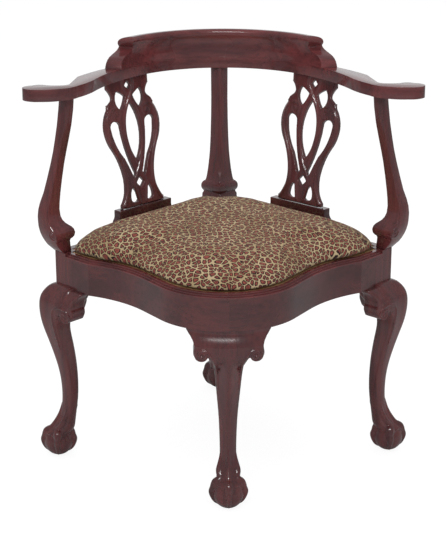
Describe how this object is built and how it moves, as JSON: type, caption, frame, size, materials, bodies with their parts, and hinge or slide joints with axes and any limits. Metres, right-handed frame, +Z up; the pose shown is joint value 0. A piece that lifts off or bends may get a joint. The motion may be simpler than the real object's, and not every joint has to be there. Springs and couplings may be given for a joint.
{
  "type": "corner chair",
  "caption": "Corner chair with serpentine front, cabriole legs on claw-and-ball feet, pierced splats, bowed arms and a lift-out upholstered seat.",
  "frame": {"origin": "on the floor, at the middle of the chair's outline", "axes": "+X to the sitter's left hand, +Y towards the back post, +Z up"},
  "size_m": [0.7624, 0.663, 0.8229],
  "materials": {
    "mahogany": "satin varnish, dark red-brown",
    "plain_wood": "unfinished",
    "leopard_cloth": "woven, leopard pattern",
    "webbing": "jute",
    "black_cloth": "matt",
    "screw_steel": "dull"
  },
  "bodies": {
    "chair_frame": {"back_glue_block": "plain_wood", "back_knee_bracket_left": "mahogany", "back_knee_bracket_right": "mahogany", "back_leg": "mahogany", "back_post": "mahogany", "crest_rail": "mahogany", "crest_screws": "screw_steel", "front_glue_block_left": "plain_wood", "front_glue_block_right": "plain_wood", "front_knee_bracket_left": "mahogany", "front_knee_bracket_right": "mahogany", "front_leg": "mahogany", "left_arm": "mahogany", "left_arm_support": "mahogany", "left_back_rail": "mahogany", "left_front_rail": "mahogany", "left_glue_block": "plain_wood", "left_knee_bracket_back": "mahogany", "left_knee_bracket_front": "mahogany", "left_leg": "mahogany", "left_rail_moulding": "mahogany", "left_splat": "mahogany", "left_splat_shoe": "mahogany", "right_arm": "mahogany", "right_arm_support": "mahogany", "right_back_rail": "mahogany", "right_front_rail": "mahogany", "right_glue_block": "plain_wood", "right_knee_bracket_back": "mahogany", "right_knee_bracket_front": "mahogany", "right_leg": "mahogany", "right_rail_moulding": "mahogany", "right_splat": "mahogany", "right_splat_shoe": "mahogany"},
    "slip_seat": {"dust_cloth": "black_cloth", "seat_cushion": "leopard_cloth", "seat_frame_left_back": "plain_wood", "seat_frame_left_front": "plain_wood", "seat_frame_right_back": "plain_wood", "seat_frame_right_front": "plain_wood", "seat_webbing": "webbing"}
  },
  "joints": [
    {"name": "seat_lift", "type": "slide", "parent": "chair_frame", "child": "slip_seat", "axis": [0, 0, 1], "range_m": [0, 0.15]}
  ]
}
